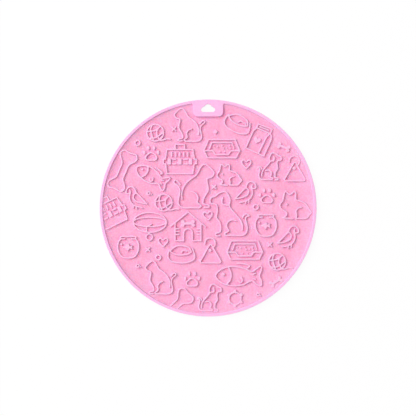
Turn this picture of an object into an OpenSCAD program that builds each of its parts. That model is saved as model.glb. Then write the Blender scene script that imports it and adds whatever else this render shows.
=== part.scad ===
// Round silicone lick mat for pet food, made as one moulding: a thin base sheet, a raised rim,
// a hanging tab with a cloud-shaped hole, and pet pictures drawn in raised ridges.
// The origin is the middle of the underside, +Z is up and +Y points to the hanging tab.

/* [Sheet and rim] */
// Outside diameter of the mat
mat_d = 200; // [140:1:300]
// Thickness of the base sheet
sheet_t = 2.5; // [1.5:0.1:5]
// Radius of the base sheet's lower edge
sheet_edge_r = 0.6; // [0.2:0.1:1.2]
// Width of the rim
rim_w = 2.8; // [2.2:0.1:5]
// Height of the rim above the base sheet
rim_h = 3; // [2:0.1:6]
// Radius of the top edges of the rim and the tab
rim_edge_r = 0.9; // [0.2:0.1:1]

/* [Hanging tab] */
// Width of the tab
tab_w = 28; // [22:0.5:32]
// Length of the tab, inwards from the mat's outer edge
tab_l = 15.7; // [13:0.1:17]
// Radius of the tab's two inner corners
tab_corner_r = 4.5; // [1.5:0.1:8]
// Distance from the mat's outer edge to the top of the cloud-shaped hole
hole_inset = 4; // [3.5:0.1:5.5]
// Height of the cloud-shaped hole
hole_h = 7.5; // [6:0.1:8.5]
// Radius of the hole's middle lobe
hole_mid_r = 3.5; // [2.5:0.1:3.7]
// Radius of the hole's two side lobes
hole_side_r = 2.2; // [1.5:0.1:2.8]
// Distance from the hole's middle to the centre of a side lobe
hole_side_x = 4.3; // [3:0.1:5]

/* [Ridges] */
// Width of a raised ridge
ridge_w = 1.3; // [0.9:0.05:1.7]
// Height of a raised ridge above the base sheet
ridge_h = 2; // [1:0.1:4]

/* [Hidden] */
mat_r = mat_d / 2;
tray_r = mat_r - rim_w;
rim_top = sheet_t + rim_h;
tab_bottom_y = mat_r - tab_l;
hole_top_y = mat_r - hole_inset;
hole_bottom_y = hole_top_y - hole_h;
overrun = 1;
silicone = [1, 0.7, 0.84];

// A ridge is a thin core line, swollen by the same amount on both sides
core_share = 0.2;
core_w = ridge_w * core_share;
swell = (ridge_w - core_w) / 2;
// Dots are at least this wide, so that they don't vanish
dot_min_r = ridge_w / 2;
// Straight pieces between two points of a curve
curve_steps = 3;
// Sides of a ring, a dot and the round end of a ridge, and steps of an arc
ring_sides = 20;
dot_sides = 12;
end_sides = 8;
arc_steps = 6;
full_turn = 360;
sides = [-1, 1];
$fn = 96;

// Every picture is drawn facing right, around the middle of a square whose side is 1.
// A row gives the picture's name and its drawing, its place and its size as shares of the
// mat's radius, its turn in degrees, and 1 where it is mirrored.
picture_shares = [
    ["cat_upper", "cat", [-0.165, 0.768], 0.31, 0, 0],
    ["cat_middle", "cat", [-0.137, 0.203], 0.41, 0, 1],
    ["cat_lower", "cat", [-0.432, -0.64], 0.31, 0, 0],
    ["dog_upper", "dog", [0.565, 0.383], 0.255, 0, 0],
    ["dog_middle", "dog", [0.203, -0.055], 0.42, 0, 1],
    ["dog_lower", "dog", [0.01, -0.828], 0.255, 0, 0],
    ["rabbit_upper", "rabbit", [0.198, 0.308], 0.24, 0, 0],
    ["rabbit_right", "rabbit", [0.81, 0.028], 0.31, 0, 0],
    ["bird_left", "bird", [-0.66, 0.093], 0.23, 0, 1],
    ["bird_middle", "bird", [0.345, 0.14], 0.23, 0, 0],
    ["bird_right", "bird", [0.738, -0.27], 0.23, 0, 0],
    ["fish_upper", "fish", [-0.518, 0.295], 0.345, -29, 0],
    ["fish_lower", "fish", [0.285, -0.625], 0.46, 0, 0],
    ["fishbowl_left", "fishbowl", [-0.737, -0.362], 0.23, 0, 0],
    ["fishbowl_right", "fishbowl", [0.533, -0.162], 0.23, 0, 0],
    ["big_bone_left", "bone_outline", [-0.79, 0.343], 0.39, 67, 0],
    ["big_bone_lower", "bone_outline", [-0.31, -0.912], 0.39, 45, 0],
    ["small_bone_upper", "bone", [0.698, 0.563], 0.125, -22, 0],
    ["small_bone_lower", "bone", [0.628, -0.68], 0.125, 33, 0],
    ["paw_upper", "paw", [-0.525, 0.5], 0.155, 0, 0],
    ["paw_right", "paw", [0.542, 0.108], 0.155, 0, 0],
    ["paw_lower", "paw", [-0.148, -0.66], 0.155, 0, 0],
    ["heart_upper", "heart", [0.353, 0.407], 0.095, 0, 0],
    ["heart_middle", "heart", [-0.002, -0.07], 0.095, 8, 0],
    ["heart_lower", "heart", [-0.415, -0.315], 0.095, 0, 0],
    ["yarn_upper", "yarn", [-0.488, 0.695], 0.185, 0, 0],
    ["yarn_middle", "yarn", [-0.41, 0.05], 0.185, 0, 0],
    ["yarn_lower", "yarn", [0.637, -0.495], 0.185, 0, 0],
    ["food_bowl_upper", "food_bowl", [0.273, 0.78], 0.31, -25, 0],
    ["food_bowl_lower", "food_bowl", [-0.247, -0.425], 0.31, 0, 0],
    ["food_bag", "food_bag", [0.475, 0.625], 0.31, -23, 0],
    ["litter_tray_upper", "litter_tray", [0.127, 0.548], 0.37, 0, 0],
    ["litter_tray_lower", "litter_tray", [0.338, -0.387], 0.37, 0, 0],
    ["carrier_upper", "carrier", [-0.26, 0.45], 0.31, 0, 0],
    ["carrier_left", "carrier", [-0.912, -0.035], 0.31, 26, 0],
    ["name_tag_right", "name_tag", [0.8, 0.332], 0.185, 0, 0],
    ["name_tag_lower", "name_tag", [0.023, -0.425], 0.185, 0, 0],
    ["collar", "collar", [-0.537, -0.128], 0.31, 0, 0],
    ["kennel", "kennel", [-0.185, -0.17], 0.31, 0, 0],
    ["flower", "flower", [0.248, -0.835], 0.155, 0, 0],
    ["diamond", "diamond", [0.07, 0.705], 0.04, 0, 0],
    ["sparkle_upper", "sparkle", [-0.315, 0.73], 0.05, 0, 0],
    ["sparkle_middle", "sparkle", [0.055, 0.195], 0.05, 0, 0],
    ["sparkle_right", "sparkle", [0.57, -0.338], 0.05, 0, 0],
    ["sparkle_left", "sparkle", [-0.555, -0.383], 0.05, 0, 0],
    ["ring_upper", "small_ring", [-0.65, 0.6], 0.05, 0, 0],
    ["ring_right", "small_ring", [0.44, 0.008], 0.05, 0, 0],
    ["ring_left", "small_ring", [-0.46, -0.457], 0.05, 0, 0],
    ["bubbles_upper", "bubbles", [-0.545, 0.135], 0.04, 0, 0],
    ["bubbles_left", "bubbles", [-0.645, -0.535], 0.04, 0, 0],
    ["bubbles_lower", "bubbles", [0.465, -0.8], 0.04, 0, 0],
];

// Sitting cat: back, face, chest and front leg; haunch; base and tail
cat_curve_shares = [
    [[0.25, -0.29], [0.26, -0.18], [0.23, -0.06], [0.16, 0.06], [0.05, 0.16], [-0.06, 0.24],
        [-0.11, 0.32], [-0.18, 0.44], [-0.26, 0.49], [-0.36, 0.43], [-0.47, 0.3],
        [-0.41, 0.2], [-0.32, 0.17], [-0.31, 0.1], [-0.34, -0.08], [-0.28, -0.2],
        [-0.23, -0.3], [-0.23, -0.4], [-0.34, -0.43], [-0.35, -0.48], [-0.24, -0.48]],
    [[0.04, -0.12], [-0.05, -0.16], [-0.11, -0.26], [-0.09, -0.37], [-0.18, -0.45],
        [-0.13, -0.49]],
    [[-0.13, -0.49], [0.03, -0.49], [0.19, -0.49], [0.3, -0.45], [0.34, -0.35], [0.3, -0.14],
        [0.33, -0.02], [0.43, 0.07], [0.41, 0.13], [0.35, 0.1], [0.29, 0.03]],
];

// Sitting dog: back, face, chest and front leg; ear; haunch; base and tail; tip of the tail
dog_curve_shares = [
    [[-0.27, -0.35], [-0.27, -0.25], [-0.23, -0.14], [-0.15, -0.04], [-0.01, 0.12],
        [0.02, 0.19], [0, 0.31], [0.07, 0.46], [0.15, 0.49], [0.25, 0.45], [0.33, 0.39],
        [0.42, 0.35], [0.43, 0.24], [0.3, 0.2], [0.28, 0.06], [0.3, -0.08], [0.22, -0.2],
        [0.21, -0.38], [0.31, -0.43], [0.3, -0.48], [0.22, -0.48]],
    [[0.16, 0.36], [0.18, 0.28], [0.15, 0.21], [0.02, 0.19]],
    [[-0.13, -0.15], [-0.04, -0.13], [0.06, -0.19], [0.07, -0.3], [0.03, -0.37],
        [0.12, -0.43], [0.1, -0.47]],
    [[0.1, -0.47], [-0.09, -0.47], [-0.26, -0.47], [-0.35, -0.42], [-0.38, -0.3],
        [-0.34, -0.12], [-0.36, -0.06], [-0.42, -0.04]],
    [[-0.42, -0.04], [-0.37, 0], [-0.31, -0.02], [-0.27, -0.09]],
];

// Crouching rabbit: paw, face, ears and back; belly; haunch
rabbit_curve_shares = [
    [[-0.37, -0.37], [-0.28, -0.31], [-0.29, -0.21], [-0.42, -0.13], [-0.48, 0],
        [-0.39, 0.13], [-0.36, 0.26], [-0.31, 0.4], [-0.18, 0.31], [-0.04, 0.4], [0, 0.3],
        [0, 0.16], [0.12, 0.12], [0.24, 0.07], [0.34, -0.03], [0.4, -0.13], [0.46, -0.22],
        [0.39, -0.31], [0.3, -0.4], [0.01, -0.4]],
    [[-0.37, -0.38], [-0.23, -0.4], [-0.09, -0.41]],
    [[0.17, -0.07], [0.06, -0.1], [0, -0.19], [0.02, -0.28], [0.01, -0.4]],
];
rabbit_eye_shares = [-0.27, 0.02];

// Perching bird: back, head and beak; breast; wing; two feet
bird_curve_shares = [
    [[-0.42, -0.24], [-0.12, 0.08], [0.02, 0.22], [0.06, 0.34], [0.16, 0.44], [0.29, 0.44],
        [0.39, 0.35], [0.42, 0.22], [0.34, 0.17], [0.25, 0.21], [0.27, 0.32]],
    [[0.25, 0.21], [0.28, 0.06], [0.26, -0.1], [0.17, -0.24], [0.05, -0.32], [-0.22, -0.39]],
    [[0.03, 0.2], [0.11, 0.12], [0.13, 0.04], [0.09, -0.07], [0, -0.14], [-0.18, -0.2],
        [-0.42, -0.24]],
    [[0.02, -0.33], [0, -0.43]],
    [[0.13, -0.28], [0.13, -0.39]],
];

// Fish: outline; then gill, back fin, belly fin and two short lines on the tail; eye
fish_outline_shares = [[-0.47, 0], [-0.35, 0.13], [-0.14, 0.19], [0.1, 0.15], [0.25, 0.08],
    [0.34, 0.13], [0.44, 0.19], [0.45, 0.11], [0.41, 0], [0.45, -0.11], [0.44, -0.2],
    [0.34, -0.16], [0.25, -0.1], [0.08, -0.18], [-0.14, -0.2], [-0.35, -0.14]];
fish_curve_shares = [
    [[-0.21, 0.17], [-0.16, 0.06], [-0.17, -0.07], [-0.24, -0.17]],
    [[-0.03, 0.25], [0.09, 0.24], [0.21, 0.2], [0.18, 0.16]],
    [[0.05, -0.03], [0.07, -0.1], [0.03, -0.14], [-0.01, -0.1]],
    [[0.28, 0.03], [0.33, 0.05]],
    [[0.29, -0.05], [0.33, -0.07]],
];
fish_eye_shares = [-0.31, 0.03];

// Fishbowl: right half of the bowl and of its rim, the small fish inside it, and a bubble
fishbowl_half_shares = [[0, -0.43], [0.17, -0.41], [0.27, -0.36], [0.35, -0.25],
    [0.41, -0.1], [0.42, 0.07], [0.38, 0.23], [0.28, 0.34]];
fishbowl_rim_half_shares = [[0, 0.43], [0.27, 0.43], [0.31, 0.38], [0.26, 0.34],
    [0.14, 0.34]];
fishbowl_fish_shares = [[-0.22, 0], [-0.1, 0.06], [0.02, 0.14], [0.06, 0.03], [0.19, 0.08],
    [0.15, 0], [0.19, -0.1], [0.06, -0.05], [-0.01, -0.17], [-0.09, -0.07]];
fishbowl_bubble_shares = [-0.27, 0.12];
fishbowl_bubble_r_share = 0.045;

// Bone: a quarter of its outline; knobs and shaft of the small solid bone
bone_quarter_shares = [[0, 0.08], [0.18, 0.085], [0.29, 0.17], [0.38, 0.21], [0.47, 0.15],
    [0.46, 0.04]];
bone_knob_shares = [0.37, 0.13];
bone_knob_r_share = 0.13;
bone_shaft_share = 0.19;

// Paw: the four toes and their radii; the pad
paw_toe_shares = [[0.17, 0.35], [0.41, 0.08], [-0.17, 0.35], [-0.41, 0.08]];
paw_toe_rx_share = 0.08;
paw_toe_ry_share = 0.125;
paw_pad_half_shares = [[0, 0.07], [0.17, 0], [0.33, -0.19], [0.26, -0.36], [0, -0.38]];

// Right half of a heart, from the notch to the point
heart_half_shares = [[0, 0.2], [0.22, 0.38], [0.43, 0.26], [0.4, 0], [0.2, -0.24],
    [0, -0.42]];

// Ball of yarn: its radius, its windings and the loose end
yarn_r_share = 0.42;
yarn_curve_shares = [
    [[-0.16, 0.36], [-0.22, 0.2], [-0.2, 0], [-0.08, -0.39]],
    [[0.16, 0.23], [0.09, 0.1], [0.09, -0.08], [0.2, -0.34]],
    [[-0.4, 0.05], [-0.2, 0.08], [0.02, 0.12], [0.16, 0.23], [0.25, 0.31]],
    [[-0.28, -0.28], [-0.01, -0.26], [0.16, -0.17], [0.38, 0]],
    [[0.2, -0.34], [0.34, -0.2]],
    [[0.2, -0.36], [0.36, -0.37], [0.56, -0.31], [0.76, -0.32]],
];

// Food bowl: body; front edge; heap of food; two pieces of food
food_bowl_curve_shares = [
    [[-0.35, 0.13], [-0.39, 0.02], [-0.39, -0.1], [-0.32, -0.2], [-0.2, -0.24], [0, -0.265],
        [0.21, -0.24], [0.36, -0.17], [0.4, -0.08], [0.38, 0.03], [0.33, 0.16]],
    [[-0.34, 0.09], [-0.2, 0], [0, -0.03], [0.19, 0], [0.3, 0.06]],
    [[-0.34, 0.09], [-0.25, 0.17], [-0.14, 0.24], [-0.01, 0.25], [0.13, 0.23], [0.24, 0.18],
        [0.3, 0.06]],
    [[0.01, 0.05], [0.04, 0.1], [0.1, 0.11], [0.15, 0.08]],
    [[0.15, 0.08], [0.2, 0.1], [0.25, 0.04]],
];

// Bag of food: closing band; front; side; fold of the side; line on the band; heart
bag_band_shares = [[-0.22, 0.43], [0.22, 0.45], [0.22, 0.3], [-0.22, 0.31]];
bag_line_shares = [
    [[-0.22, 0.31], [-0.28, 0.2], [-0.29, -0.37], [0.12, -0.38]],
    [[0.22, 0.3], [0.28, 0.25], [0.31, 0.14], [0.3, -0.39], [0.12, -0.38]],
    [[0.2, 0.28], [0.15, 0.15], [0.12, -0.38]],
    [[-0.15, 0.375], [0.13, 0.38]],
];
bag_heart_shares = [-0.07, -0.03];
bag_heart_size_share = 0.24;

// Litter tray: right halves of its outer edge, inner edge and entrance; grains of litter
tray_outer_half_shares = [[0, 0.225], [0.33, 0.225], [0.445, -0.05], [0.355, -0.23],
    [0, -0.23]];
tray_inner_half_shares = [[0, 0.15], [0.25, 0.15], [0.3, 0.01]];
tray_entrance_half_shares = [[0, -0.15], [0.16, -0.15], [0.23, -0.055], [0.44, -0.055]];
tray_grain_shares = [[-0.19, 0.065], [-0.11, 0.045], [0.01, 0.08], [0.04, 0.01],
    [0.12, 0.02], [0.2, 0.07], [0.21, 0], [-0.055, -0.08], [0.07, -0.08]];

// Pet carrier: right halves of its shells, handle, clip and dashes; bars and blocks
carrier_half_shares = [
    [[0, 0.29], [0.385, 0.29], [0.435, 0]],
    [[0, -0.43], [0.385, -0.43], [0.425, -0.14]],
    [[0, 0.44], [0.14, 0.44], [0.14, 0.29]],
];
carrier_side_shares = [
    [[0.435, 0], [0.49, 0], [0.49, -0.14], [0.425, -0.14]],
    [[0.12, 0], [0.22, 0]],
    [[0.12, -0.14], [0.22, -0.14]],
];
carrier_bar_x_shares = [-0.24, -0.12, 0, 0.12, 0.24];
carrier_bar_y_shares = [0.2, 0.09];
carrier_block_x_shares = [-0.315, 0, 0.315];
carrier_block_y_share = -0.07;
carrier_block_size_shares = [0.1, 0.18];

// Name tag: centres and radius of its corners; hook; dot
tag_corner_shares = [[0, 0.4], [0.44, -0.37], [-0.44, -0.37]];
tag_corner_r_share = 0.07;
tag_corner_turn = 120;
tag_corner_from = 150;
tag_hook_shares = [-0.02, 0.545];
tag_hook_r_share = 0.26;
tag_hook_from = -50;
tag_hook_to = 190;
tag_dot_shares = [-0.03, 0.19];
tag_dot_r_share = 0.085;

// Collar: width; height of its outer and inner edge; buckle, its pin and a link; ring
collar_rx_share = 0.49;
collar_outer_ry_share = 0.295;
collar_inner_ry_share = 0.138;
collar_outer_y_share = -0.015;
collar_line_shares = [
    [[-0.1, -0.138], [-0.1, -0.29]],
    [[-0.04, -0.12], [0.04, -0.07]],
    [[-0.03, -0.32], [-0.02, -0.36]],
];
collar_ring_shares = [-0.015, -0.455];
collar_ring_r_share = 0.095;

// Kennel: roof; right half of the walls and door; boards; bone over the door
kennel_roof_shares = [[-0.51, 0.01], [0, 0.43], [0.52, -0.01]];
kennel_wall_half_shares = [[0.13, -0.2], [0.13, -0.426], [0.385, -0.426], [0.385, 0.1]];
kennel_door_r_share = 0.13;
kennel_door_y_share = -0.2;
kennel_board_y_shares = [-0.07, -0.15, -0.24];
kennel_board_x_shares = [0.27, 0.385];
kennel_bone_shares = [0, 0.09];
kennel_bone_size_share = 0.42;

// Flower: ring and petals
flower_petals = 6;
flower_ring_r_share = 0.365;
flower_petal_at_share = 0.42;
flower_petal_r_share = 0.1;

// Small marks between the pictures
diamond_r_share = 0.5;
sparkle_arm_share = 0.45;
small_ring_r_share = 0.46;
bubble_ring_shares = [-0.1, 0.05];
bubble_ring_r_share = 0.32;
bubble_dot_shares = [0.55, -0.18];
bubble_dot_r_share = 0.17;
eye_r_share = 0.03;

function pick(p, i, closed) =
    closed ? p[(i + len(p)) % len(p)] : p[min(max(i, 0), len(p) - 1)];

// Point between b and c on a smooth curve that runs through a, b, c and d
function between(a, b, c, d, t) =
    b + ((c - a) * t + (2 * a - 5 * b + 4 * c - d) * t * t
        + (3 * b - a - 3 * c + d) * t * t * t) / 2;

function smooth(p, closed = false) = concat(
    [for (i = [0 : len(p) - (closed ? 1 : 2)], j = [0 : curve_steps - 1])
        between(pick(p, i - 1, closed), pick(p, i, closed), pick(p, i + 1, closed),
            pick(p, i + 2, closed), j / curve_steps)],
    closed ? [] : [p[len(p) - 1]]);

// Unit vector to the left of a path at its point i
function left_of(p, i, closed) =
    let (d = pick(p, i + 1, closed) - pick(p, i - 1, closed)) [-d[1], d[0]] / norm(d);

function shifted(p, by, closed) =
    [for (i = [0 : len(p) - 1]) p[i] + by * left_of(p, i, closed)];

function reversed(p) = [for (i = [len(p) - 1 : -1 : 0]) p[i]];
function mirrored(p) = [for (q = p) [-q[0], q[1]]];
function without_first(p) = [for (i = [1 : len(p) - 1]) p[i]];
function inner(p) = [for (i = [1 : 1 : len(p) - 2]) p[i]];

// Open path from its right half, which starts on the middle line
function both_halves(p) = concat(reversed(mirrored(p)), without_first(p));

// Closed path from its right half, which starts and ends on the middle line
function closed_halves(p) = without_first(both_halves(p));

function arc(at, r, from, to, steps) =
    [for (i = [0 : steps])
        let (a = from + (to - from) * i / steps) at + r * [cos(a), sin(a)]];

function ellipse(at, rx, ry, n) =
    [for (i = [0 : n - 1]) let (a = full_turn * i / n) at + [rx * cos(a), ry * sin(a)]];

// Corners of the round end of a ridge's core at a, which points away from b
function cap(a, b) =
    let (turn = full_turn / end_sides, r = core_w / 2 / cos(turn / 2),
        ahead = (a - b) / norm(a - b), left = [-ahead[1], ahead[0]])
    [for (i = [0.5 - end_sides / 4 : end_sides / 4 - 0.5])
        a + r * (cos(i * turn) * ahead + sin(i * turn) * left)];

// Core of a ridge along straight pieces, with round ends
module line(p) {
    last = len(p) - 1;
    polygon(concat(cap(p[0], p[1]), inner(shifted(p, -core_w / 2, false)),
        cap(p[last], p[last - 1]), reversed(inner(shifted(p, core_w / 2, false)))));
}

module closed_line(p) {
    n = len(p);
    polygon(concat(shifted(p, core_w / 2, true), shifted(p, -core_w / 2, true)),
        paths = [[for (i = [0 : n - 1]) i], [for (i = [0 : n - 1]) n + i]]);
}

module curve(p) line(smooth(p));
module closed_curve(p) closed_line(smooth(p, true));
module ring(at, r) closed_line(ellipse(at, r, r, ring_sides));

// Solid raised shapes are drawn smaller by what the ridges swell
module solid() offset(delta = -swell) children();
module dot(at, r)
    translate(at) circle(r = max(r, dot_min_r) - swell, $fn = dot_sides);

module cat(s) for (p = cat_curve_shares) curve(s * p);

module dog(s) for (p = dog_curve_shares) curve(s * p);

module rabbit(s) {
    for (p = rabbit_curve_shares) curve(s * p);
    dot(s * rabbit_eye_shares, s * eye_r_share);
}

module bird(s) for (p = bird_curve_shares) curve(s * p);

module fish(s) {
    closed_curve(s * fish_outline_shares);
    for (p = fish_curve_shares) curve(s * p);
    dot(s * fish_eye_shares, s * eye_r_share);
}

module fishbowl(s) {
    curve(s * both_halves(fishbowl_half_shares));
    curve(s * both_halves(fishbowl_rim_half_shares));
    solid() polygon(s * fishbowl_fish_shares);
    dot(s * fishbowl_bubble_shares, s * fishbowl_bubble_r_share);
}

module bone_outline(s) {
    upper = both_halves(bone_quarter_shares);
    closed_curve(s * concat(upper, -upper));
}

module bone(s) {
    solid() {
        for (i = sides, j = sides)
            translate(s * [i * bone_knob_shares[0], j * bone_knob_shares[1]])
                circle(r = s * bone_knob_r_share, $fn = dot_sides);
        square(s * [2 * bone_knob_shares[0], bone_shaft_share], center = true);
    }
}

module paw(s) {
    solid() for (at = paw_toe_shares)
        polygon(ellipse(s * at, s * paw_toe_rx_share, s * paw_toe_ry_share, dot_sides));
    closed_curve(s * closed_halves(paw_pad_half_shares));
}

module heart(s) closed_curve(s * closed_halves(heart_half_shares));

module solid_heart(s) solid() polygon(s * smooth(closed_halves(heart_half_shares), true));

module yarn(s) {
    ring([0, 0], s * yarn_r_share);
    for (p = yarn_curve_shares) curve(s * p);
}

module food_bowl(s) for (p = food_bowl_curve_shares) curve(s * p);

module food_bag(s) {
    closed_line(s * bag_band_shares);
    for (p = bag_line_shares) line(s * p);
    translate(s * bag_heart_shares) solid_heart(s * bag_heart_size_share);
}

module litter_tray(s) {
    closed_line(s * closed_halves(tray_outer_half_shares));
    line(s * both_halves(tray_inner_half_shares));
    line(s * both_halves(tray_entrance_half_shares));
    for (at = tray_grain_shares) dot(s * at, 0);
}

module carrier(s) {
    for (p = carrier_half_shares) line(s * both_halves(p));
    for (p = carrier_side_shares) {
        line(s * p);
        line(s * mirrored(p));
    }
    for (x = carrier_bar_x_shares) line([for (y = carrier_bar_y_shares) s * [x, y]]);
    solid() for (x = carrier_block_x_shares)
        translate(s * [x, carrier_block_y_share])
            square(s * carrier_block_size_shares, center = true);
}

module name_tag(s) {
    closed_line([for (i = [0 : 2], a = [0 : arc_steps])
        s * (tag_corner_shares[i]
            + tag_corner_r_share * dir(tag_corner_from - tag_corner_turn * (i + a / arc_steps)))]);
    line(arc(s * tag_hook_shares, s * tag_hook_r_share, tag_hook_from, tag_hook_to,
        2 * arc_steps));
    dot(s * tag_dot_shares, s * tag_dot_r_share);
}

function dir(a) = [cos(a), sin(a)];

module collar(s) {
    closed_line(ellipse(s * [0, collar_outer_y_share], s * collar_rx_share,
        s * collar_outer_ry_share, 2 * ring_sides));
    closed_line(ellipse([0, 0], s * collar_rx_share, s * collar_inner_ry_share,
        2 * ring_sides));
    for (p = collar_line_shares) line(s * p);
    ring(s * collar_ring_shares, s * collar_ring_r_share);
}

module kennel(s) {
    line(s * kennel_roof_shares);
    line(s * kennel_wall_half_shares);
    line(s * mirrored(kennel_wall_half_shares));
    line(arc(s * [0, kennel_door_y_share], s * kennel_door_r_share, 0, full_turn / 2,
        2 * arc_steps));
    for (y = kennel_board_y_shares, i = sides)
        line([for (x = kennel_board_x_shares) s * [i * x, y]]);
    translate(s * kennel_bone_shares) bone(s * kennel_bone_size_share);
}

module flower(s) {
    ring([0, 0], s * flower_ring_r_share);
    for (i = [0 : flower_petals - 1])
        dot(s * flower_petal_at_share * dir(full_turn * (i + 0.5) / flower_petals),
            s * flower_petal_r_share);
}

module diamond(s) circle(r = s * diamond_r_share - swell, $fn = 4);

module sparkle(s) for (i = sides)
    line([for (j = sides) s * sparkle_arm_share * j * dir(i * full_turn / 8)]);

module small_ring(s) ring([0, 0], s * small_ring_r_share);

module bubbles(s) {
    ring(s * bubble_ring_shares, s * bubble_ring_r_share);
    dot(s * bubble_dot_shares, s * bubble_dot_r_share);
}

module drawing(kind, s) {
    if (kind == "cat") cat(s);
    if (kind == "dog") dog(s);
    if (kind == "rabbit") rabbit(s);
    if (kind == "bird") bird(s);
    if (kind == "fish") fish(s);
    if (kind == "fishbowl") fishbowl(s);
    if (kind == "bone_outline") bone_outline(s);
    if (kind == "bone") bone(s);
    if (kind == "paw") paw(s);
    if (kind == "heart") heart(s);
    if (kind == "yarn") yarn(s);
    if (kind == "food_bowl") food_bowl(s);
    if (kind == "food_bag") food_bag(s);
    if (kind == "litter_tray") litter_tray(s);
    if (kind == "carrier") carrier(s);
    if (kind == "name_tag") name_tag(s);
    if (kind == "collar") collar(s);
    if (kind == "kennel") kennel(s);
    if (kind == "flower") flower(s);
    if (kind == "diamond") diamond(s);
    if (kind == "sparkle") sparkle(s);
    if (kind == "small_ring") small_ring(s);
    if (kind == "bubbles") bubbles(s);
}

// One picture in raised ridges, cut off where it runs into the rim
module picture(p) {
    color(silicone)
        intersection() {
            translate([p[2][0] * mat_r, p[2][1] * mat_r, sheet_t]) rotate(p[4])
                mirror([p[5], 0, 0]) linear_extrude(ridge_h)
                    offset(delta = swell) drawing(p[1], p[3] * mat_r);
            cylinder(r = tray_r, h = sheet_t + ridge_h + overrun);
        }
}

// Hole in the shape of a cloud: a middle lobe, two side lobes and a flat lower side
module cloud_hole() {
    h = rim_top + 2 * overrun;
    translate([0, 0, -overrun]) {
        translate([0, hole_top_y - hole_mid_r, 0]) cylinder(r = hole_mid_r, h = h);
        for (i = sides) translate([i * hole_side_x, hole_bottom_y + hole_side_r, 0])
            cylinder(r = hole_side_r, h = h);
        translate([-hole_side_x, hole_bottom_y, 0])
            cube([2 * hole_side_x, hole_side_r, h]);
        translate([-hole_mid_r, hole_bottom_y, 0])
            cube([2 * hole_mid_r, hole_h - hole_mid_r, h]);
    }
}

// Block of the tab's width, from its inner edge to past the mat's outer edge
module tab_block() {
    h = rim_h + 2 * overrun;
    corner_x = tab_w / 2 - tab_corner_r;
    translate([0, 0, sheet_t]) {
        translate([-tab_w / 2, tab_bottom_y + tab_corner_r, 0])
            cube([tab_w, tab_l - tab_corner_r + overrun, h]);
        translate([-corner_x, tab_bottom_y, 0]) cube([2 * corner_x, tab_l, h]);
        for (i = sides) translate([i * corner_x, tab_bottom_y + tab_corner_r, 0])
            cylinder(r = tab_corner_r, h = h);
    }
}

// Disc of radius r that stands on the base sheet, with a round top edge
module round_disc(r) {
    rotate_extrude() {
        translate([0, sheet_t]) square([r, rim_h - rim_edge_r]);
        translate([0, sheet_t]) square([r - rim_edge_r, rim_h]);
        translate([r - rim_edge_r, rim_top - rim_edge_r]) circle(r = rim_edge_r);
    }
}

// Straight length of a wall that stands on the base sheet, along X from 0, with its outer
// side at y = 0 and a round top edge there
module round_side(length, depth) {
    translate([0, 0, sheet_t]) cube([length, depth, rim_h - rim_edge_r]);
    translate([0, rim_edge_r, sheet_t]) cube([length, depth - rim_edge_r, rim_h]);
    translate([0, rim_edge_r, rim_top - rim_edge_r]) rotate([0, 90, 0])
        cylinder(r = rim_edge_r, h = length);
}

// Tab from its inner edge to past the mat's outer edge, with round top edges
module tab_body() {
    corner_x = tab_w / 2 - tab_corner_r;
    corner_y = tab_bottom_y + tab_corner_r;
    side_l = tab_l - tab_corner_r + overrun;
    for (i = sides) translate([i * corner_x, corner_y, 0]) round_disc(tab_corner_r);
    translate([-corner_x, tab_bottom_y, 0]) round_side(2 * corner_x, side_l);
    translate([-tab_w / 2, corner_y + side_l, 0]) rotate(-90) round_side(side_l, tab_w / 2);
    translate([tab_w / 2, corner_y, 0]) rotate(90) round_side(side_l, tab_w / 2);
}

module base_sheet() {
    color(silicone)
        difference() {
            rotate_extrude() {
                square([mat_r - sheet_edge_r, sheet_t]);
                translate([0, sheet_edge_r]) square([mat_r, sheet_t - sheet_edge_r]);
                translate([mat_r - sheet_edge_r, sheet_edge_r]) circle(r = sheet_edge_r);
            }
            cloud_hole();
        }
}

module whole_rim() {
    rotate_extrude() {
        translate([tray_r, sheet_t]) square([rim_w, rim_h - rim_edge_r]);
        translate([tray_r + rim_edge_r, sheet_t]) square([rim_w - 2 * rim_edge_r, rim_h]);
        for (x = [tray_r + rim_edge_r, mat_r - rim_edge_r])
            translate([x, rim_top - rim_edge_r]) circle(r = rim_edge_r);
    }
}

module rim() {
    color(silicone)
        difference() {
            whole_rim();
            tab_block();
        }
}

// The tab takes the rim's place along its width, so the rim's section runs on through it
module hanging_tab() {
    color(silicone)
        difference() {
            union() {
                intersection() {
                    whole_rim();
                    tab_block();
                }
                intersection() {
                    round_disc(mat_r);
                    tab_body();
                }
            }
            cloud_hole();
        }
}

base_sheet();
rim();
hanging_tab();
for (p = picture_shares) picture(p);
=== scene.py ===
import math

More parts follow.
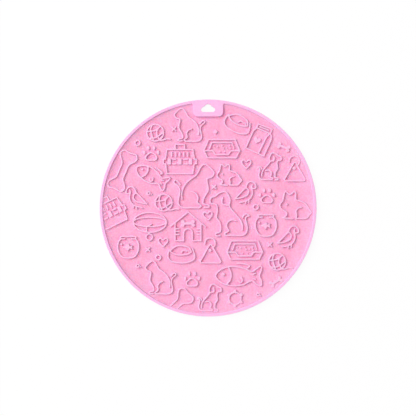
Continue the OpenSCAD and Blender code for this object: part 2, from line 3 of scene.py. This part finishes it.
import bpy
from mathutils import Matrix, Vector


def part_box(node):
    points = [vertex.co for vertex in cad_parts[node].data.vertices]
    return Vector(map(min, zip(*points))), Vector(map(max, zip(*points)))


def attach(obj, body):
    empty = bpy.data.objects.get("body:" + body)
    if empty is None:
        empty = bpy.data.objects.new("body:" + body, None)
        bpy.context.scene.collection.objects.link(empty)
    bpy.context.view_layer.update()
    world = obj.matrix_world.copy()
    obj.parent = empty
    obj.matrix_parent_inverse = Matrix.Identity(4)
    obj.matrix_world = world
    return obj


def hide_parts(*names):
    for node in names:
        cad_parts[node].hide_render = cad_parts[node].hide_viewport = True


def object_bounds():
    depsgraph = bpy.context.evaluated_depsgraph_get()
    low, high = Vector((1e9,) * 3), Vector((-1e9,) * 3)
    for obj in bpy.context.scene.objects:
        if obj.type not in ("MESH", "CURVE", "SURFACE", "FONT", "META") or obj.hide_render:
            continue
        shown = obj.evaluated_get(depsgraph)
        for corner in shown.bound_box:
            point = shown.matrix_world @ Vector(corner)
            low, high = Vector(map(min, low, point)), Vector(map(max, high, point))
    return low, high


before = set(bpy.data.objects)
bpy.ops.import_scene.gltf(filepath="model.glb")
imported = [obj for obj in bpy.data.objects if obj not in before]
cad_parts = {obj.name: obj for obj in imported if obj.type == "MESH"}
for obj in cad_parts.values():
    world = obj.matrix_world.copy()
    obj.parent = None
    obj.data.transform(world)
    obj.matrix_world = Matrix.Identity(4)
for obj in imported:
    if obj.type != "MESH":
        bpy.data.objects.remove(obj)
cadLow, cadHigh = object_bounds()
mm = 0.001
print("frame loaded,", len(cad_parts), "nodes")

# Camera straight above the mat, framed as in the photograph
camera = {"above": 1.4, "plane": 0.004, "seenWidth": 0.38376, "sensor": 36, "aside": -0.00009,
          "clip": (0.01, 20)}
bpy.ops.object.camera_add(location=(camera["aside"], 0, camera["plane"] + camera["above"]),
                          rotation=(0, 0, 0))
shot = bpy.context.object
shot.name = "shot"
shot.data.sensor_width = camera["sensor"]
shot.data.lens = camera["sensor"] * camera["above"] / camera["seenWidth"]
shot.data.clip_start, shot.data.clip_end = camera["clip"]
bpy.context.scene.camera = shot
print("camera set")


# Small helpers for modelling
meshing = {"touch": 0.01 * mm, "seam": 0.002 * mm, "flatness": 0.5, "fineFlatness": 0.01,
           "facing": 0.9, "normalWeight": 80}


def only(obj):
    bpy.ops.object.select_all(action="DESELECT")
    obj.select_set(True)
    bpy.context.view_layer.objects.active = obj


def settle(obj, name):
    only(obj)
    bpy.ops.object.transform_apply(location=True, rotation=True, scale=True)
    obj.name = obj.data.name = name
    return obj


def puck(name, radius, bottom, top, sides, x=0.0, y=0.0):
    bpy.ops.mesh.primitive_cylinder_add(vertices=sides, radius=radius, depth=top - bottom,
                                        location=(x, y, (bottom + top) / 2))
    return settle(bpy.context.object, name)


def block(name, low, high):
    bpy.ops.mesh.primitive_cube_add(size=1, location=[(a + b) / 2 for a, b in zip(low, high)])
    bpy.context.object.scale = [b - a for a, b in zip(low, high)]
    return settle(bpy.context.object, name)


def edgeNormals(mesh):  # the normals of the faces at each edge
    normals = {}
    for face in mesh.polygons:
        for key in face.edge_keys:
            normals.setdefault(key, []).append(face.normal)
    return normals


def pickNothing(obj):
    only(obj)
    for kind in (obj.data.vertices, obj.data.edges, obj.data.polygons):
        for item in kind:
            item.select = False


def pickEdges(obj, test):  # test gets an edge's ends and its faces' normals; edit mode stays on
    pickNothing(obj)
    mesh = obj.data
    normals = edgeNormals(mesh)
    for edge in mesh.edges:
        ends = [mesh.vertices[i] for i in edge.vertices]
        if test(ends[0].co, ends[1].co, normals.get(edge.key, [])):
            edge.select = True
            for end in ends:
                end.select = True
    bpy.context.tool_settings.mesh_select_mode = (False, True, False)
    bpy.ops.object.mode_set(mode="EDIT")


def pickFaces(obj, test):  # edit mode stays on
    pickNothing(obj)
    for face in obj.data.polygons:
        face.select = test(face)
    bpy.context.tool_settings.mesh_select_mode = (False, False, True)
    bpy.ops.object.mode_set(mode="EDIT")


def roundEdges(obj, test, radius, steps):
    pickEdges(obj, test)
    bpy.ops.mesh.bevel(offset=radius, segments=steps, affect="EDGES", clamp_overlap=False)
    bpy.ops.object.mode_set(mode="OBJECT")


def combine(obj, other, way):
    only(obj)
    step = obj.modifiers.new("combine", "BOOLEAN")
    step.operation, step.solver, step.object = way, "EXACT", other
    bpy.ops.object.modifier_apply(modifier=step.name)
    bpy.data.objects.remove(other)


def tidyMesh(obj, gap, flatness=meshing["flatness"]):
    only(obj)
    bpy.ops.object.mode_set(mode="EDIT")
    bpy.ops.mesh.select_all(action="SELECT")
    bpy.ops.mesh.remove_doubles(threshold=gap)
    bpy.ops.mesh.dissolve_limited(angle_limit=math.radians(flatness))
    bpy.ops.mesh.normals_make_consistent(inside=False)
    bpy.ops.object.mode_set(mode="OBJECT")


def smoothSurface(obj, angle):
    only(obj)
    bpy.ops.object.shade_smooth_by_angle(angle=math.radians(angle))
    step = obj.modifiers.new("evenNormals", "WEIGHTED_NORMAL")
    step.keep_sharp, step.weight = True, meshing["normalWeight"]
    bpy.ops.object.modifier_apply(modifier=step.name)


def isUpright(a, b):
    return abs(a.x - b.x) + abs(a.y - b.y) < meshing["touch"]


def isTopOutline(a, b, normals, top):  # an edge between the flat top and a wall
    flat = [n.z > meshing["facing"] for n in normals]
    return min(a.z, b.z) > top - meshing["touch"] and any(flat) and not all(flat)


# Silicone: pink, with the grain of its mould; the rim, tab and ridges get lighter copies of it, a
# painted sheen on the raised parts
mouldNoise = {"detail": {"Patch": 3, "Speckle": 3, "Grain": 2}, "roughness": 0.6,
              "spread": (0.3, 0.7)}
colourSockets = {"first": 6, "second": 7, "result": 2}  # of a Mix node that is set to colours


def addNode(tree, kind, x, y, **settings):
    node = tree.nodes.new(kind)
    node.location = (x, y)
    for name, value in settings.items():
        setattr(node, name, value)
    return node


def makeMouldGrain():  # soft patches, millimetre speckles, and the fine grain of a blasted mould
    group = bpy.data.node_groups.new("mouldGrain", "ShaderNodeTree")
    face = group.interface
    face.new_socket("Vector", in_out="INPUT", socket_type="NodeSocketVector")
    for name in ("Patch Scale", "Speckle Scale", "Grain Scale", "Speckle Share", "Grain Share"):
        face.new_socket(name, in_out="INPUT", socket_type="NodeSocketFloat")
    face.new_socket("Patches", in_out="OUTPUT", socket_type="NodeSocketFloat")
    face.new_socket("Height", in_out="OUTPUT", socket_type="NodeSocketFloat")
    enter = addNode(group, "NodeGroupInput", -800, 0)
    leave = addNode(group, "NodeGroupOutput", 600, 0)
    blotch = addNode(group, "ShaderNodeMix", 0, 100, data_type="FLOAT")
    height = addNode(group, "ShaderNodeMix", 250, -150, data_type="FLOAT")
    link = group.links.new
    made = []
    for i, (name, detail) in enumerate(mouldNoise["detail"].items()):
        noise = addNode(group, "ShaderNodeTexNoise", -550, 250 - 250 * i)
        noise.inputs["Detail"].default_value = detail
        noise.inputs["Roughness"].default_value = mouldNoise["roughness"]
        spread = addNode(group, "ShaderNodeMapRange", -300, 250 - 250 * i)
        for socket, value in zip(("From Min", "From Max"), mouldNoise["spread"]):
            spread.inputs[socket].default_value = value
        link(enter.outputs["Vector"], noise.inputs["Vector"])
        link(enter.outputs[name + " Scale"], noise.inputs["Scale"])
        link(noise.outputs["Fac"], spread.inputs["Value"])
        made.append(spread.outputs["Result"])
    for blend, share, first, second in ((blotch, "Speckle Share", made[0], made[1]),
                                        (height, "Grain Share", blotch.outputs["Result"], made[2])):
        link(enter.outputs[share], blend.inputs["Factor"])
        link(first, blend.inputs["A"])
        link(second, blend.inputs["B"])
    link(blotch.outputs["Result"], leave.inputs["Patches"])
    link(height.outputs["Result"], leave.inputs["Height"])
    return group


mouldGrain = makeMouldGrain()


def makeSilicone(name, look):
    material = bpy.data.materials.new(name)
    material.use_nodes = True
    tree = material.node_tree
    link = tree.links.new
    shader = tree.nodes["Principled BSDF"]
    place = addNode(tree, "ShaderNodeTexCoord", -1100, 0)
    mapping = addNode(tree, "ShaderNodeMapping", -900, 0)
    mapping.inputs["Rotation"].default_value = look["turn"]
    grain = addNode(tree, "ShaderNodeGroup", -700, 0, node_tree=mouldGrain)
    for socket, value in look["grain"].items():
        grain.inputs[socket].default_value = value
    tint = addNode(tree, "ShaderNodeMix", -350, 250, data_type="RGBA")
    tint.inputs[colourSockets["first"]].default_value = (*look["deep"], 1)
    tint.inputs[colourSockets["second"]].default_value = (*look["light"], 1)
    rough = addNode(tree, "ShaderNodeMapRange", -350, 0)
    rough.inputs["To Min"].default_value, rough.inputs["To Max"].default_value = look["rough"]
    bump = addNode(tree, "ShaderNodeBump", -350, -300)
    bump.inputs["Strength"].default_value = look["bump"]
    bump.inputs["Distance"].default_value = look["bumpDepth"]
    shader.inputs["Specular IOR Level"].default_value = look["specular"]
    shader.inputs["Subsurface Weight"].default_value = look["glow"]
    shader.inputs["Subsurface Radius"].default_value = look["glowRadius"]
    shader.inputs["Subsurface Scale"].default_value = look["glowDepth"]
    link(place.outputs["Object"], mapping.inputs["Vector"])
    link(mapping.outputs["Vector"], grain.inputs["Vector"])
    link(grain.outputs["Patches"], tint.inputs["Factor"])
    link(grain.outputs["Patches"], rough.inputs["Value"])
    link(grain.outputs["Height"], bump.inputs["Height"])
    link(tint.outputs[colourSockets["result"]], shader.inputs["Base Color"])
    link(rough.outputs["Result"], shader.inputs["Roughness"])
    link(bump.outputs["Normal"], shader.inputs["Normal"])
    return material


floorLook = {
    "deep": (0.955, 0.36, 0.557), "light": (0.97, 0.518, 0.75), "turn": (0.3, 0.2, 0.7),
    "grain": {"Patch Scale": 60, "Speckle Scale": 650, "Grain Scale": 1500,
              "Speckle Share": 0.65, "Grain Share": 0.5},
    "rough": (0.55, 0.68), "bump": 0.5, "bumpDepth": 0.00006, "specular": 0.35,
    "glow": 0.45, "glowRadius": (1.0, 0.2, 0.3), "glowDepth": 0.002,
}
# Lighter than the floor's pink: painted sheen on the rim and tab
rimLookWithPaintedSheen = {
    "deep": (0.935, 0.5, 0.785), "light": (0.955, 0.535, 0.82), "turn": (0.1, 0.5, 0.2),
    "grain": {"Patch Scale": 45, "Speckle Scale": 500, "Grain Scale": 2200,
              "Speckle Share": 0.3, "Grain Share": 0.85},
    "rough": (0.4, 0.48), "bump": 0.2, "bumpDepth": 0.00003, "specular": 0.45,
    "glow": 0.35, "glowRadius": (1.0, 0.3, 0.4), "glowDepth": 0.0016,
}
# Lighter than the floor's pink: painted sheen on the ridges' tops
ridgeLookWithPaintedSheen = {
    "deep": (0.91, 0.495, 0.722), "light": (0.945, 0.565, 0.79), "turn": (0.4, 0.1, 0.5),
    "grain": {"Patch Scale": 90, "Speckle Scale": 700, "Grain Scale": 2200,
              "Speckle Share": 0.5, "Grain Share": 0.85},
    "rough": (0.38, 0.48), "bump": 0.2, "bumpDepth": 0.00003, "specular": 0.5,
    "glow": 0.3, "glowRadius": (1.0, 0.3, 0.4), "glowDepth": 0.001,
}
floorSilicone = makeSilicone("pinkSiliconeFloor", floorLook)
rimSiliconeWithPaintedSheen = makeSilicone("pinkSiliconeRimPaintedSheen", rimLookWithPaintedSheen)
ridgeSiliconeWithPaintedSheen = makeSilicone("pinkSiliconeRidgePaintedSheen", ridgeLookWithPaintedSheen)
print("materials made")

# Cloud-shaped hole for hanging the mat up: three lobes over a flat lower side, and two shoulders
# that smooth the notches between the lobes
hole = {"inset": 4 * mm, "height": 7.5 * mm, "middleRadius": 3.5 * mm, "sideRadius": 2.2 * mm,
        "sideX": 4.3 * mm, "shoulderRadius": 2.15 * mm, "shoulderX": 2.9 * mm,
        "shoulderDrop": 4.1 * mm, "sides": 96, "past": 2 * mm}


def makeHoleCutter(outerRadius, bottom, top):
    low, high = bottom - hole["past"], top + hole["past"]
    topY = outerRadius - hole["inset"]
    bottomY = topY - hole["height"]
    cloud = puck("cloud", hole["middleRadius"], low, high, hole["sides"],
                 y=topY - hole["middleRadius"])
    for side in (-1, 1):
        lobe = puck("lobe", hole["sideRadius"], low, high, hole["sides"], side * hole["sideX"],
                    bottomY + hole["sideRadius"])
        shoulder = puck("shoulder", hole["shoulderRadius"], low, high, hole["sides"],
                        side * hole["shoulderX"], topY - hole["shoulderDrop"])
        combine(cloud, lobe, "UNION")
        combine(cloud, shoulder, "UNION")
    for halfWidth, height in ((hole["sideX"], hole["sideRadius"]),
                              (hole["middleRadius"], hole["height"] - hole["middleRadius"])):
        foot = block("foot", (-halfWidth, bottomY, low), (halfWidth, bottomY + height, high))
        combine(cloud, foot, "UNION")
    tidyMesh(cloud, meshing["touch"])
    return cloud


# Base sheet: the matt floor of the tray with its soft flank up to the rim, plain wall and underside
base = {"sides": 360, "footRadius": 0.6 * mm, "footSteps": 4, "footShare": 0.99,
        "flatEdge": 0.5 * mm, "flatFacing": 0.99, "floorFacing": 0.5, "smoothAngle": 40}
# The flank's rings: radius, and rise above the floor, both in mm
tray = {"radius": 97.2 * mm, "flank": ((84, 0), (86, 0.06), (88, 0.18), (90, 0.36), (91, 0.47),
                                       (92, 0.6), (93, 0.75), (94, 0.94), (95, 1.17), (96, 1.44),
                                       (96.6, 1.63), (97.2, 1.84))}
# The rim and its tab, which the base sheet is cut to fit as well
rim = {"sides": 360, "tabCorner": 4.5 * mm, "cornerSteps": 14, "fillet": 1.5 * mm,
       "filletSteps": 8, "filletReach": 0.5 * mm, "innerEdge": 0.7 * mm, "tabEdge": 0.3 * mm,
       "outerEdge": 0.3 * mm, "edgeSteps": 5, "smoothAngle": 40, "past": 2 * mm}


def extrudeTop(radius, level, nextRadius, nextLevel):  # one more ring round the picked face
    bpy.ops.mesh.extrude_region_move(TRANSFORM_OT_translate={"value": (0, 0, nextLevel - level)})
    share = nextRadius / radius
    bpy.ops.transform.resize(value=(share, share, 1), center_override=(0, 0, 0))
    return nextRadius, nextLevel


def makeTabBlock(bottom, top):  # the tab's outline, with round lower corners
    tabLow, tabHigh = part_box("hanging_tab")
    tab = block("tab", (tabLow.x, tabLow.y, bottom), (tabHigh.x, cadHigh.x + rim["past"], top))
    roundEdges(tab, lambda a, b, n: isUpright(a, b) and a.y < tabLow.y + rim["past"],
               rim["tabCorner"], rim["cornerSteps"])
    return tab


def makeBase():
    low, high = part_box("base_sheet")
    sheet = puck("mat_base", high.x, low.z, high.z, base["sides"])
    pickFaces(sheet, lambda face: face.normal.z > meshing["facing"])
    radius, level = high.x, high.z
    for share in (0, 1):  # in to the rim's wall, then up it
        radius, level = extrudeTop(radius, level, tray["radius"],
                                   high.z + share * tray["flank"][-1][1] * mm)
    for nextRadius, rise in reversed(tray["flank"][:-1]):
        radius, level = extrudeTop(radius, level, nextRadius * mm, high.z + rise * mm)
    bpy.ops.object.mode_set(mode="OBJECT")
    combine(sheet, makeTabBlock(high.z, cadHigh.z + rim["past"]), "DIFFERENCE")
    combine(sheet, makeHoleCutter(high.y, low.z, high.z), "DIFFERENCE")
    tidyMesh(sheet, meshing["seam"], meshing["fineFlatness"])
    reach = base["footShare"] * high.x  # rounds the outer lower edge, not the hole's
    roundEdges(sheet, lambda a, b, n: max(a.z, b.z) < meshing["touch"] and a.xy.length > reach
               and b.xy.length > reach, base["footRadius"], base["footSteps"])
    pickFaces(sheet, lambda face: face.normal.z < -base["flatFacing"])
    bpy.ops.mesh.inset(thickness=base["flatEdge"])  # keeps the underside's shading flat
    bpy.ops.object.mode_set(mode="OBJECT")
    sheet.data.materials.append(floorSilicone)
    sheet.data.materials.append(rimSiliconeWithPaintedSheen)
    # Upward faces take the floor's pink; the wall and underside take the rim's lighter copy, whose
    # lighter tone is painted sheen
    for face in sheet.data.polygons:
        face.material_index = 0 if face.normal.z > base["floorFacing"] else 1
    smoothSurface(sheet, base["smoothAngle"])
    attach(sheet, "root")
    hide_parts("base_sheet")
    print("base made,", len(sheet.data.polygons), "faces")


makeBase()


# Rim and tab: one raised moulding with round edges and the cloud-shaped hole

def weighEdges(obj, weigh, radius, steps):  # rounds each edge by its own share of the radius
    normals = edgeNormals(obj.data)
    weights = obj.data.attributes.new("bevel_weight_edge", "FLOAT", "EDGE")
    for edge in obj.data.edges:
        ends = [obj.data.vertices[i].co for i in edge.vertices]
        weights.data[edge.index].value = weigh(ends[0], ends[1], normals.get(edge.key, []))
    only(obj)
    step = obj.modifiers.new("roundEdges", "BEVEL")
    step.limit_method, step.width, step.segments = "WEIGHT", radius, steps
    step.use_clamp_overlap = False
    bpy.ops.object.modifier_apply(modifier=step.name)


def makeRimAndTab():
    low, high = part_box("rim")
    tabLow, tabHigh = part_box("hanging_tab")
    moulding = puck("rim_and_tab", high.x, low.z, high.z, rim["sides"])
    inside = puck("inside", tray["radius"], low.z - rim["past"], high.z + rim["past"], rim["sides"])
    combine(inside, makeTabBlock(low.z - 2 * rim["past"], high.z + 2 * rim["past"]), "DIFFERENCE")
    tidyMesh(inside, meshing["seam"], meshing["fineFlatness"])
    joint = tray["radius"] - rim["filletReach"]  # where the tab's sides run into the rim
    roundEdges(inside, lambda a, b, n: isUpright(a, b) and a.xy.length > joint
               and abs(abs(a.x) - tabHigh.x) < meshing["touch"], rim["fillet"], rim["filletSteps"])
    combine(moulding, inside, "DIFFERENCE")
    tidyMesh(moulding, meshing["seam"], meshing["fineFlatness"])
    fullWidth = tabHigh.x + rim["fillet"]

    def weigh(a, b, normals):
        if not isTopOutline(a, b, normals, high.z):
            return 0
        middle = (a + b) / 2
        if middle.xy.length > (tray["radius"] + high.x) / 2:
            return rim["outerEdge"] / rim["innerEdge"]
        tabShare = rim["tabEdge"] / rim["innerEdge"]
        way = min(1, max(0, (abs(middle.x) - tabHigh.x) / rim["fillet"]))
        return tabShare + (1 - tabShare) * way if abs(middle.x) < fullWidth and middle.y > 0 else 1

    weighEdges(moulding, weigh, rim["innerEdge"], rim["edgeSteps"])
    combine(moulding, makeHoleCutter(high.x, low.z, high.z), "DIFFERENCE")
    # The rim and tab get the lighter silicone copy: painted sheen on the raised moulding
    moulding.data.materials.clear()
    moulding.data.materials.append(rimSiliconeWithPaintedSheen)
    smoothSurface(moulding, rim["smoothAngle"])
    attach(moulding, "root")
    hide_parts("rim", "hanging_tab")
    print("rim and tab made,", len(moulding.data.polygons), "faces")


makeRimAndTab()

# Raised pictures: each takes its outline from its CAD node, and gets round top edges
ridge = {"edgeRadius": 0.3 * mm, "fineRadius": 0.25 * mm, "fineKind": "yarn", "edgeSteps": 4,
         "smoothAngle": 45, "cutOff": 97.1 * mm}


def makeRidges(node):
    piece = bpy.data.objects.new(node + "_ridge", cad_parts[node].data.copy())
    bpy.context.scene.collection.objects.link(piece)
    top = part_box(node)[1].z
    tidyMesh(piece, meshing["seam"])
    radius = ridge["fineRadius" if node.startswith(ridge["fineKind"]) else "edgeRadius"]
    roundEdges(piece, lambda a, b, n: isTopOutline(a, b, n, top)
               and min(a.xy.length, b.xy.length) < ridge["cutOff"], radius, ridge["edgeSteps"])
    # The ridges get the lighter silicone copy: painted sheen on their tops
    piece.data.materials.clear()
    piece.data.materials.append(ridgeSiliconeWithPaintedSheen)
    smoothSurface(piece, ridge["smoothAngle"])
    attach(piece, "root")
    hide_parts(node)
    return len(piece.data.polygons)


pictures = [n for n in sorted(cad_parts) if n not in ("base_sheet", "rim", "hanging_tab")]
print("pictures made,", sum(makeRidges(n) for n in pictures), "faces in", len(pictures))

# Studio: a white floor that keeps the mat's shadow, a key lamp at the upper left, a weak lamp on
# the side away from the tab, and even fill
studio = {"size": 40, "white": 0.97, "seenWhite": 0.94, "fill": 0.42, "fillTint": (1, 0.9, 0.925)}
keyLamp = {"name": "key_lamp", "away": 4, "azimuth": 150, "elevation": 48, "size": 3.6,
           "power": 149}
sideLamp = {"name": "side_lamp", "away": 4, "azimuth": 272, "elevation": 30, "size": 3,
            "power": 21}


def makeSeen(tree, x, y):  # 1 for what the camera, gloss or glass looks at, else 0
    path = addNode(tree, "ShaderNodeLightPath", x, y)
    first = addNode(tree, "ShaderNodeMath", x + 200, y, operation="MAXIMUM")
    second = addNode(tree, "ShaderNodeMath", x + 400, y, operation="MAXIMUM")
    tree.links.new(path.outputs["Is Camera Ray"], first.inputs[0])
    tree.links.new(path.outputs["Is Glossy Ray"], first.inputs[1])
    tree.links.new(path.outputs["Is Transmission Ray"], second.inputs[0])
    tree.links.new(first.outputs[0], second.inputs[1])
    return second.outputs[0]


def makeGround():
    bpy.ops.mesh.primitive_plane_add(size=studio["size"], location=(0, 0, cadLow.z))
    ground = bpy.context.object
    ground.name = "studio_floor"
    material = bpy.data.materials.new("studioWhite")
    material.use_nodes = True
    tree = material.node_tree
    tree.nodes.clear()
    white = addNode(tree, "ShaderNodeBsdfDiffuse", 0, 200)
    white.inputs["Color"].default_value = (*[studio["white"]] * 3, 1)
    shine = addNode(tree, "ShaderNodeEmission", 0, 0)
    share = addNode(tree, "ShaderNodeMath", -200, -200, operation="MULTIPLY")
    share.inputs[1].default_value = studio["seenWhite"]
    mixed = addNode(tree, "ShaderNodeMixShader", 250, 100)
    output = addNode(tree, "ShaderNodeOutputMaterial", 450, 100)
    tree.links.new(makeSeen(tree, -900, -200), share.inputs[0])
    tree.links.new(share.outputs[0], mixed.inputs[0])
    tree.links.new(white.outputs[0], mixed.inputs[1])
    tree.links.new(shine.outputs[0], mixed.inputs[2])
    tree.links.new(mixed.outputs[0], output.inputs["Surface"])
    ground.data.materials.append(material)


def makeWorld():
    world = bpy.data.worlds.new("studioFill")
    bpy.context.scene.world = world
    world.use_nodes = True
    tree = world.node_tree
    strength = addNode(tree, "ShaderNodeMapRange", -200, 0)
    strength.inputs["To Min"].default_value = studio["fill"]
    strength.inputs["To Max"].default_value = 1
    tree.links.new(makeSeen(tree, -900, 0), strength.inputs["Value"])
    background = tree.nodes["Background"]
    background.inputs["Color"].default_value = (*studio["fillTint"], 1)
    tree.links.new(strength.outputs["Result"], background.inputs["Strength"])


def makeLamp(look):
    turn, rise = math.radians(look["azimuth"]), math.radians(look["elevation"])
    away = look["away"]
    place = (away * math.cos(rise) * math.cos(turn), away * math.cos(rise) * math.sin(turn),
             away * math.sin(rise))
    bpy.ops.object.light_add(type="AREA", location=place)
    lamp = bpy.context.object
    lamp.name = look["name"]
    lamp.data.shape = "DISK"
    lamp.data.size, lamp.data.energy = look["size"], look["power"]
    lamp.rotation_mode = "QUATERNION"
    lamp.rotation_quaternion = lamp.location.to_track_quat("Z", "Y")


makeGround()
makeWorld()
makeLamp(keyLamp)
makeLamp(sideLamp)
bpy.context.scene.view_settings.view_transform = "Standard"
print("studio set")
